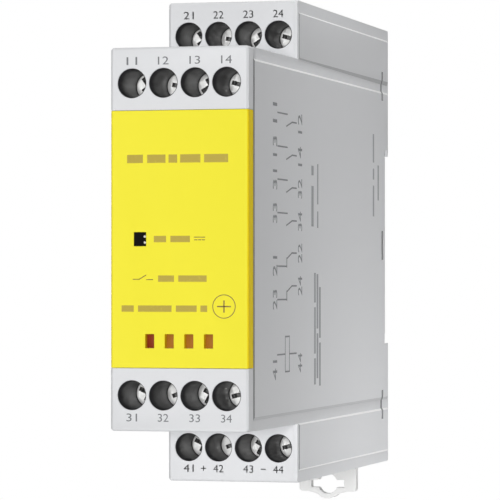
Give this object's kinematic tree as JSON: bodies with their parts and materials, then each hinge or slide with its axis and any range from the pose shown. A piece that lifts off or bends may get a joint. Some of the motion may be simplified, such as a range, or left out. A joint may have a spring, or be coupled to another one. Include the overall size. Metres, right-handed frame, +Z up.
{
  "type": "safety relay",
  "caption": "Slim safety relay in a stepped grey case with a yellow front plate, screw terminals in four rows and a rail latch.",
  "frame": {"origin": "centre of the seat that rests on the mounting rail", "axes": "front faces -Y, rail lies at +Y, +Z up, X across the case along the rail"},
  "size_m": [0.0226, 0.0988, 0.0869],
  "materials": {
    "case_grey": "fine moulded texture, satin",
    "cover_grey": "fine moulded texture, satin",
    "plate_yellow": "smooth, satin",
    "window_dark": "clear dark tint",
    "latch_white": "smooth, satin",
    "spring_steel": "bright strip",
    "block_dark": "glossy in the wells",
    "screw_nickel": "bright nickel plate",
    "cage_zinc": "zinc plate",
    "bar_tin": "tinned",
    "board_green": "coated laminate",
    "lamp_clear": "clear resin",
    "relay_black": "smooth",
    "relay_cover_clear": "blue tinted",
    "winding_copper": "enamelled wire",
    "magnet_iron": "nickel plate",
    "card_white": "smooth",
    "blade_bronze": "spring bronze"
  },
  "bodies": {
    "housing": {"housing_body": "case_grey", "side_cover": "cover_grey", "front_plate": "plate_yellow", "status_window": "window_dark", "terminal_block_front_upper": "block_dark", "terminal_block_rear_upper": "block_dark", "terminal_block_front_lower": "block_dark", "terminal_block_rear_lower": "block_dark", "contact_bars_front_upper": "bar_tin", "contact_bars_rear_upper": "bar_tin", "contact_bars_front_lower": "bar_tin", "contact_bars_rear_lower": "bar_tin", "circuit_board": "board_green", "status_led": "lamp_clear", "relay_base": "relay_black", "relay_cover": "relay_cover_clear", "coil_bobbin": "relay_black", "coil_winding": "winding_copper", "coil_core": "magnet_iron", "yoke": "magnet_iron", "fixed_blades": "blade_bronze", "latch_spring": "spring_steel"},
    "latch": {"rail_latch": "latch_white"},
    "armature": {"armature": "magnet_iron"},
    "contact_card": {"contact_card": "card_white"},
    "screw_front_upper_1": {"terminal_screw_front_upper_1": "screw_nickel"},
    "cage_front_upper_1": {"clamp_cage_front_upper_1": "cage_zinc"},
    "screw_front_upper_2": {"terminal_screw_front_upper_2": "screw_nickel"},
    "cage_front_upper_2": {"clamp_cage_front_upper_2": "cage_zinc"},
    "screw_front_upper_3": {"terminal_screw_front_upper_3": "screw_nickel"},
    "cage_front_upper_3": {"clamp_cage_front_upper_3": "cage_zinc"},
    "screw_front_upper_4": {"terminal_screw_front_upper_4": "screw_nickel"},
    "cage_front_upper_4": {"clamp_cage_front_upper_4": "cage_zinc"},
    "screw_rear_upper_1": {"terminal_screw_rear_upper_1": "screw_nickel"},
    "cage_rear_upper_1": {"clamp_cage_rear_upper_1": "cage_zinc"},
    "screw_rear_upper_2": {"terminal_screw_rear_upper_2": "screw_nickel"},
    "cage_rear_upper_2": {"clamp_cage_rear_upper_2": "cage_zinc"},
    "screw_rear_upper_3": {"terminal_screw_rear_upper_3": "screw_nickel"},
    "cage_rear_upper_3": {"clamp_cage_rear_upper_3": "cage_zinc"},
    "screw_rear_upper_4": {"terminal_screw_rear_upper_4": "screw_nickel"},
    "cage_rear_upper_4": {"clamp_cage_rear_upper_4": "cage_zinc"},
    "screw_front_lower_1": {"terminal_screw_front_lower_1": "screw_nickel"},
    "cage_front_lower_1": {"clamp_cage_front_lower_1": "cage_zinc"},
    "screw_front_lower_2": {"terminal_screw_front_lower_2": "screw_nickel"},
    "cage_front_lower_2": {"clamp_cage_front_lower_2": "cage_zinc"},
    "screw_front_lower_3": {"terminal_screw_front_lower_3": "screw_nickel"},
    "cage_front_lower_3": {"clamp_cage_front_lower_3": "cage_zinc"},
    "screw_front_lower_4": {"terminal_screw_front_lower_4": "screw_nickel"},
    "cage_front_lower_4": {"clamp_cage_front_lower_4": "cage_zinc"},
    "screw_rear_lower_1": {"terminal_screw_rear_lower_1": "screw_nickel"},
    "cage_rear_lower_1": {"clamp_cage_rear_lower_1": "cage_zinc"},
    "screw_rear_lower_2": {"terminal_screw_rear_lower_2": "screw_nickel"},
    "cage_rear_lower_2": {"clamp_cage_rear_lower_2": "cage_zinc"},
    "screw_rear_lower_3": {"terminal_screw_rear_lower_3": "screw_nickel"},
    "cage_rear_lower_3": {"clamp_cage_rear_lower_3": "cage_zinc"},
    "screw_rear_lower_4": {"terminal_screw_rear_lower_4": "screw_nickel"},
    "cage_rear_lower_4": {"clamp_cage_rear_lower_4": "cage_zinc"},
    "blades_1": {"moving_blades_1": "blade_bronze"},
    "blades_2": {"moving_blades_2": "blade_bronze"},
    "blades_3": {"moving_blades_3": "blade_bronze"}
  },
  "joints": [
    {"name": "latch_slide", "type": "slide", "parent": "housing", "child": "latch", "axis": [0, 0, -1], "range_m": [0, 0.003], "stiffness_N_per_m": 1500, "springref_m": -0.002, "deforming": ["latch_spring"]},
    {"name": "screw_turn_front_upper_1", "type": "hinge", "parent": "housing", "child": "screw_front_upper_1", "pos_m": [-0.00773, -0.0853, 0.0245], "axis": [0, 1, 0], "range_deg": [0, 3240]},
    {"name": "cage_rise_front_upper_1", "type": "slide", "parent": "housing", "child": "cage_front_upper_1", "axis": [0, -1, 0], "range_m": [0, 0.0045]},
    {"name": "screw_turn_front_upper_2", "type": "hinge", "parent": "housing", "child": "screw_front_upper_2", "pos_m": [-0.00258, -0.0853, 0.0245], "axis": [0, 1, 0], "range_deg": [0, 3240]},
    {"name": "cage_rise_front_upper_2", "type": "slide", "parent": "housing", "child": "cage_front_upper_2", "axis": [0, -1, 0], "range_m": [0, 0.0045]},
    {"name": "screw_turn_front_upper_3", "type": "hinge", "parent": "housing", "child": "screw_front_upper_3", "pos_m": [0.00258, -0.0853, 0.0245], "axis": [0, 1, 0], "range_deg": [0, 3240]},
    {"name": "cage_rise_front_upper_3", "type": "slide", "parent": "housing", "child": "cage_front_upper_3", "axis": [0, -1, 0], "range_m": [0, 0.0045]},
    {"name": "screw_turn_front_upper_4", "type": "hinge", "parent": "housing", "child": "screw_front_upper_4", "pos_m": [0.00773, -0.0853, 0.0245], "axis": [0, 1, 0], "range_deg": [0, 3240]},
    {"name": "cage_rise_front_upper_4", "type": "slide", "parent": "housing", "child": "cage_front_upper_4", "axis": [0, -1, 0], "range_m": [0, 0.0045]},
    {"name": "screw_turn_rear_upper_1", "type": "hinge", "parent": "housing", "child": "screw_rear_upper_1", "pos_m": [-0.00773, -0.0538, 0.03425], "axis": [0, 1, 0], "range_deg": [0, 3240]},
    {"name": "cage_rise_rear_upper_1", "type": "slide", "parent": "housing", "child": "cage_rear_upper_1", "axis": [0, -1, 0], "range_m": [0, 0.0045]},
    {"name": "screw_turn_rear_upper_2", "type": "hinge", "parent": "housing", "child": "screw_rear_upper_2", "pos_m": [-0.00258, -0.0538, 0.03425], "axis": [0, 1, 0], "range_deg": [0, 3240]},
    {"name": "cage_rise_rear_upper_2", "type": "slide", "parent": "housing", "child": "cage_rear_upper_2", "axis": [0, -1, 0], "range_m": [0, 0.0045]},
    {"name": "screw_turn_rear_upper_3", "type": "hinge", "parent": "housing", "child": "screw_rear_upper_3", "pos_m": [0.00258, -0.0538, 0.03425], "axis": [0, 1, 0], "range_deg": [0, 3240]},
    {"name": "cage_rise_rear_upper_3", "type": "slide", "parent": "housing", "child": "cage_rear_upper_3", "axis": [0, -1, 0], "range_m": [0, 0.0045]},
    {"name": "screw_turn_rear_upper_4", "type": "hinge", "parent": "housing", "child": "screw_rear_upper_4", "pos_m": [0.00773, -0.0538, 0.03425], "axis": [0, 1, 0], "range_deg": [0, 3240]},
    {"name": "cage_rise_rear_upper_4", "type": "slide", "parent": "housing", "child": "cage_rear_upper_4", "axis": [0, -1, 0], "range_m": [0, 0.0045]},
    {"name": "screw_turn_front_lower_1", "type": "hinge", "parent": "housing", "child": "screw_front_lower_1", "pos_m": [-0.00773, -0.0853, -0.0245], "axis": [0, 1, 0], "range_deg": [0, 3240]},
    {"name": "cage_rise_front_lower_1", "type": "slide", "parent": "housing", "child": "cage_front_lower_1", "axis": [0, -1, 0], "range_m": [0, 0.0045]},
    {"name": "screw_turn_front_lower_2", "type": "hinge", "parent": "housing", "child": "screw_front_lower_2", "pos_m": [-0.00258, -0.0853, -0.0245], "axis": [0, 1, 0], "range_deg": [0, 3240]},
    {"name": "cage_rise_front_lower_2", "type": "slide", "parent": "housing", "child": "cage_front_lower_2", "axis": [0, -1, 0], "range_m": [0, 0.0045]},
    {"name": "screw_turn_front_lower_3", "type": "hinge", "parent": "housing", "child": "screw_front_lower_3", "pos_m": [0.00258, -0.0853, -0.0245], "axis": [0, 1, 0], "range_deg": [0, 3240]},
    {"name": "cage_rise_front_lower_3", "type": "slide", "parent": "housing", "child": "cage_front_lower_3", "axis": [0, -1, 0], "range_m": [0, 0.0045]},
    {"name": "screw_turn_front_lower_4", "type": "hinge", "parent": "housing", "child": "screw_front_lower_4", "pos_m": [0.00773, -0.0853, -0.0245], "axis": [0, 1, 0], "range_deg": [0, 3240]},
    {"name": "cage_rise_front_lower_4", "type": "slide", "parent": "housing", "child": "cage_front_lower_4", "axis": [0, -1, 0], "range_m": [0, 0.0045]},
    {"name": "screw_turn_rear_lower_1", "type": "hinge", "parent": "housing", "child": "screw_rear_lower_1", "pos_m": [-0.00773, -0.0538, -0.03425], "axis": [0, 1, 0], "range_deg": [0, 3240]},
    {"name": "cage_rise_rear_lower_1", "type": "slide", "parent": "housing", "child": "cage_rear_lower_1", "axis": [0, -1, 0], "range_m": [0, 0.0045]},
    {"name": "screw_turn_rear_lower_2", "type": "hinge", "parent": "housing", "child": "screw_rear_lower_2", "pos_m": [-0.00258, -0.0538, -0.03425], "axis": [0, 1, 0], "range_deg": [0, 3240]},
    {"name": "cage_rise_rear_lower_2", "type": "slide", "parent": "housing", "child": "cage_rear_lower_2", "axis": [0, -1, 0], "range_m": [0, 0.0045]},
    {"name": "screw_turn_rear_lower_3", "type": "hinge", "parent": "housing", "child": "screw_rear_lower_3", "pos_m": [0.00258, -0.0538, -0.03425], "axis": [0, 1, 0], "range_deg": [0, 3240]},
    {"name": "cage_rise_rear_lower_3", "type": "slide", "parent": "housing", "child": "cage_rear_lower_3", "axis": [0, -1, 0], "range_m": [0, 0.0045]},
    {"name": "screw_turn_rear_lower_4", "type": "hinge", "parent": "housing", "child": "screw_rear_lower_4", "pos_m": [0.00773, -0.0538, -0.03425], "axis": [0, 1, 0], "range_deg": [0, 3240]},
    {"name": "cage_rise_rear_lower_4", "type": "slide", "parent": "housing", "child": "cage_rear_lower_4", "axis": [0, -1, 0], "range_m": [0, 0.0045]},
    {"name": "armature_tilt", "type": "hinge", "parent": "housing", "child": "armature", "pos_m": [0, -0.0454, 0.0125], "axis": [1, 0, 0], "range_deg": [0, 4.5], "stiffness_Nm_per_rad": 0.05, "springref_deg": -5.73},
    {"name": "card_lift", "type": "slide", "parent": "housing", "child": "contact_card", "axis": [0, 0, 1], "range_m": [0, 0.00058]},
    {"name": "blade_flex_1", "type": "hinge", "parent": "housing", "child": "blades_1", "pos_m": [0, -0.0247, -0.009], "axis": [1, 0, 0], "range_deg": [-2.6, 0]},
    {"name": "blade_flex_2", "type": "hinge", "parent": "housing", "child": "blades_2", "pos_m": [0, -0.0247, 0], "axis": [1, 0, 0], "range_deg": [-2.6, 0]},
    {"name": "blade_flex_3", "type": "hinge", "parent": "housing", "child": "blades_3", "pos_m": [0, -0.0247, 0.009], "axis": [1, 0, 0], "range_deg": [-2.6, 0]}
  ],
  "couplings": [
    {"joint": "screw_turn_front_upper_1", "follows": "cage_rise_front_upper_1", "rad_per_m": 12566},
    {"joint": "screw_turn_front_upper_2", "follows": "cage_rise_front_upper_2", "rad_per_m": 12566},
    {"joint": "screw_turn_front_upper_3", "follows": "cage_rise_front_upper_3", "rad_per_m": 12566},
    {"joint": "screw_turn_front_upper_4", "follows": "cage_rise_front_upper_4", "rad_per_m": 12566},
    {"joint": "screw_turn_rear_upper_1", "follows": "cage_rise_rear_upper_1", "rad_per_m": 12566},
    {"joint": "screw_turn_rear_upper_2", "follows": "cage_rise_rear_upper_2", "rad_per_m": 12566},
    {"joint": "screw_turn_rear_upper_3", "follows": "cage_rise_rear_upper_3", "rad_per_m": 12566},
    {"joint": "screw_turn_rear_upper_4", "follows": "cage_rise_rear_upper_4", "rad_per_m": 12566},
    {"joint": "screw_turn_front_lower_1", "follows": "cage_rise_front_lower_1", "rad_per_m": 12566},
    {"joint": "screw_turn_front_lower_2", "follows": "cage_rise_front_lower_2", "rad_per_m": 12566},
    {"joint": "screw_turn_front_lower_3", "follows": "cage_rise_front_lower_3", "rad_per_m": 12566},
    {"joint": "screw_turn_front_lower_4", "follows": "cage_rise_front_lower_4", "rad_per_m": 12566},
    {"joint": "screw_turn_rear_lower_1", "follows": "cage_rise_rear_lower_1", "rad_per_m": 12566},
    {"joint": "screw_turn_rear_lower_2", "follows": "cage_rise_rear_lower_2", "rad_per_m": 12566},
    {"joint": "screw_turn_rear_lower_3", "follows": "cage_rise_rear_lower_3", "rad_per_m": 12566},
    {"joint": "screw_turn_rear_lower_4", "follows": "cage_rise_rear_lower_4", "rad_per_m": 12566},
    {"joint": "armature_tilt", "follows": "card_lift", "rad_per_m": 135.13},
    {"joint": "blade_flex_1", "follows": "card_lift", "rad_per_m": -75.188},
    {"joint": "blade_flex_2", "follows": "card_lift", "rad_per_m": -75.188},
    {"joint": "blade_flex_3", "follows": "card_lift", "rad_per_m": -75.188}
  ]
}
